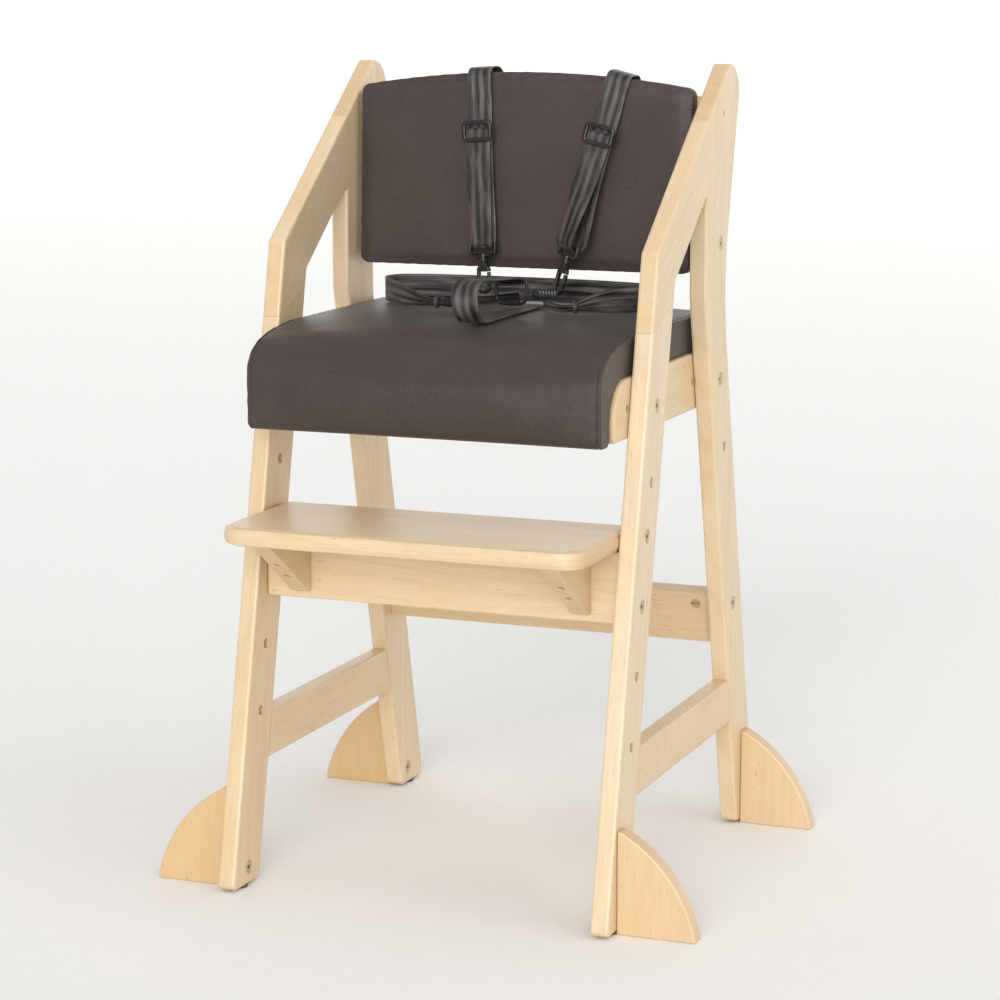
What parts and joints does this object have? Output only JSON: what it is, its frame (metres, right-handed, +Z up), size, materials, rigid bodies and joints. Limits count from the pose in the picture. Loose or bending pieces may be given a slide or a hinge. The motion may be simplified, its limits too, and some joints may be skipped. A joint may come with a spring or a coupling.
{
  "type": "baby high chair",
  "caption": "Wooden baby high chair with bent-board side frames, padded seat and backrest, bolted footrest, quarter-round anti-tip feet and a webbing harness.",
  "frame": {"origin": "on the floor, under the middle of the chair's overall box", "axes": "+X across the chair to the right as seen from its front, +Y from the front to the back, +Z up"},
  "size_m": [0.5506, 0.4896, 0.785],
  "materials": {
    "wood": "clear lacquered light hardwood, satin",
    "plywood": "birch plywood, clear lacquered",
    "leatherette": "fine grained dark brown leatherette",
    "steel": "yellow zinc plated",
    "felt": "pressed felt",
    "webbing": "satin woven webbing",
    "plastic": "moulded, semi-gloss"
  },
  "bodies": {
    "chair": {"backrest_board": "plywood", "backrest_pad": "leatherette", "crotch_strap": "webbing", "footrest_apron": "wood", "footrest_board": "wood", "front_left_foot": "wood", "front_left_foot_bolt": "steel", "front_left_glide": "felt", "front_left_seat_bolt": "steel", "front_right_foot": "wood", "front_right_foot_bolt": "steel", "front_right_glide": "felt", "front_right_seat_bolt": "steel", "left_apron_bolt": "steel", "left_arm": "wood", "left_backrest_bolt": "steel", "left_barrel_nut": "steel", "left_bracket": "wood", "left_crossbar_bolt": "steel", "left_footrest_bolt": "steel", "left_front_leg": "wood", "left_rear_leg": "wood", "left_seat_rail": "wood", "left_shoulder_strap": "webbing", "left_side_stretcher": "wood", "left_swivel_eye": "plastic", "rear_crossbar": "wood", "rear_left_foot": "wood", "rear_left_foot_bolt": "steel", "rear_left_glide": "felt", "rear_left_seat_bolt": "steel", "rear_right_foot": "wood", "rear_right_foot_bolt": "steel", "rear_right_glide": "felt", "rear_right_seat_bolt": "steel", "right_apron_bolt": "steel", "right_arm": "wood", "right_backrest_bolt": "steel", "right_barrel_nut": "steel", "right_bracket": "wood", "right_crossbar_bolt": "steel", "right_footrest_bolt": "steel", "right_front_leg": "wood", "right_rear_leg": "wood", "right_seat_rail": "wood", "right_shoulder_strap": "webbing", "right_side_stretcher": "wood", "right_swivel_eye": "plastic", "seat_board": "plywood", "seat_pad": "leatherette", "waist_belt": "webbing", "waist_hook": "plastic"},
    "left_slider": {"left_slider": "plastic"},
    "right_slider": {"right_slider": "plastic"},
    "left_hook": {"left_snap_hook": "plastic"},
    "right_hook": {"right_snap_hook": "plastic"},
    "left_gate": {"left_hook_gate": "plastic"},
    "right_gate": {"right_hook_gate": "plastic"},
    "ring": {"waist_ring": "plastic"}
  },
  "joints": [
    {"name": "left_slider_travel", "type": "slide", "parent": "chair", "child": "left_slider", "axis": [-0.061, 0.0645, 0.9961], "range_m": [-0.045, 0]},
    {"name": "left_hook_swivel", "type": "hinge", "parent": "chair", "child": "left_hook", "pos_m": [-0.03557, 0.06374, 0.60659], "axis": [-0.061, 0.0645, 0.9961], "continuous": true},
    {"name": "left_gate_press", "type": "hinge", "parent": "left_hook", "child": "left_gate", "pos_m": [-0.02807, 0.06109, 0.57821], "axis": [0.1405, 0.9885, -0.0554], "range_deg": [0, 25], "stiffness_Nm_per_rad": 0.02, "springref_deg": -5.73},
    {"name": "right_slider_travel", "type": "slide", "parent": "chair", "child": "right_slider", "axis": [0.2326, 0.1243, 0.9646], "range_m": [-0.02, 0]},
    {"name": "right_hook_swivel", "type": "hinge", "parent": "chair", "child": "right_hook", "pos_m": [0.06031, 0.05375, 0.60831], "axis": [0.2326, 0.1243, 0.9646], "continuous": true},
    {"name": "right_gate_press", "type": "hinge", "parent": "right_hook", "child": "right_gate", "pos_m": [0.05833, 0.0469, 0.57971], "axis": [0.5269, 0.8176, -0.2324], "range_deg": [0, 25], "stiffness_Nm_per_rad": 0.02, "springref_deg": -5.73},
    {"name": "ring_swing", "type": "hinge", "parent": "chair", "child": "ring", "pos_m": [0.022, -0.00571, 0.5785], "axis": [1, 0, 0], "range_deg": [-30, 60]}
  ]
}
